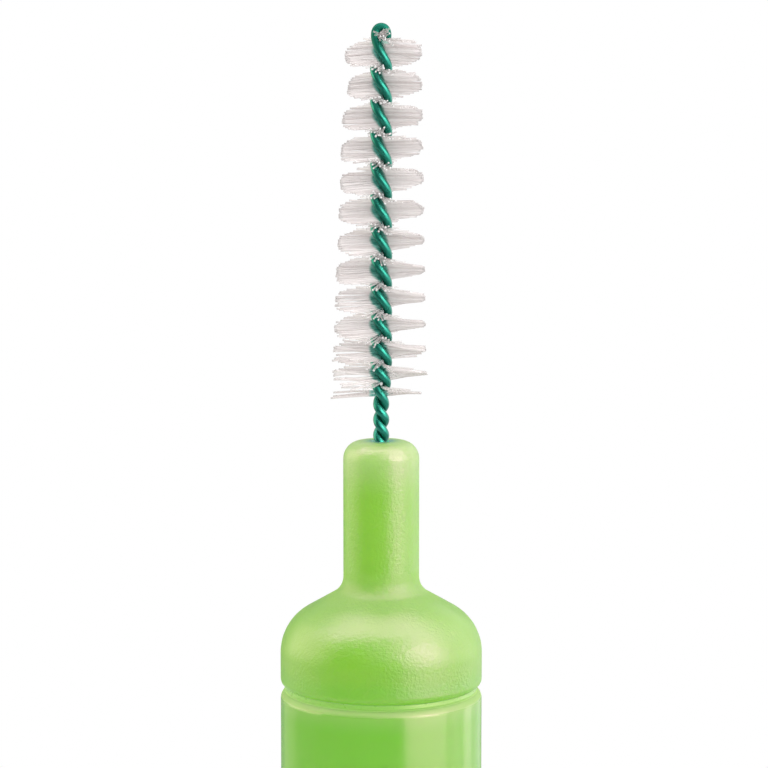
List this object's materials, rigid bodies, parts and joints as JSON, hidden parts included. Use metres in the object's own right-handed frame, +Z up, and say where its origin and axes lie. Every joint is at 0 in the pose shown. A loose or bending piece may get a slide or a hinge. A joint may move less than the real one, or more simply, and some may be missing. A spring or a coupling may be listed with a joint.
{
  "type": "interdental brush",
  "caption": "Interdental brush with a twisted-in-wire bristle cylinder on a click-off green head, carried by a round barrel handle that stands on its flat tail.",
  "frame": {"origin": "centre of the flat foot at the handle's tail, on the surface that the brush stands on", "axes": "+Z up along the handle and the brush, towards the wire's tip; -Y faces the viewer of the picture, +X to the viewer's right"},
  "size_m": [0.008, 0.008, 0.0742],
  "materials": {
    "barrel_plastic": "smooth translucent plastic, semi-gloss",
    "core_plastic": "smooth translucent plastic, paler where it is thin",
    "shell_plastic": "frosted translucent plastic, satin",
    "wire": "thin glossy coating over steel wire",
    "bristle": "clear nylon filament"
  },
  "bodies": {
    "handle": {"handle_barrel": "barrel_plastic", "tail_plug": "barrel_plastic"},
    "head": {"head_core": "core_plastic", "head_shell": "shell_plastic", "core_wire": "wire", "bristle_turn_01": "bristle", "bristle_turn_02": "bristle", "bristle_turn_03": "bristle", "bristle_turn_04": "bristle", "bristle_turn_05": "bristle", "bristle_turn_06": "bristle", "bristle_turn_07": "bristle", "bristle_turn_08": "bristle", "bristle_turn_09": "bristle", "bristle_turn_10": "bristle", "bristle_turn_11": "bristle", "bristle_turn_12": "bristle", "bristle_turn_13": "bristle"}
  },
  "joints": [
    {"name": "head_click_off", "type": "slide", "parent": "handle", "child": "head", "axis": [0, 0, 1], "range_m": [0, 0.0075]}
  ]
}
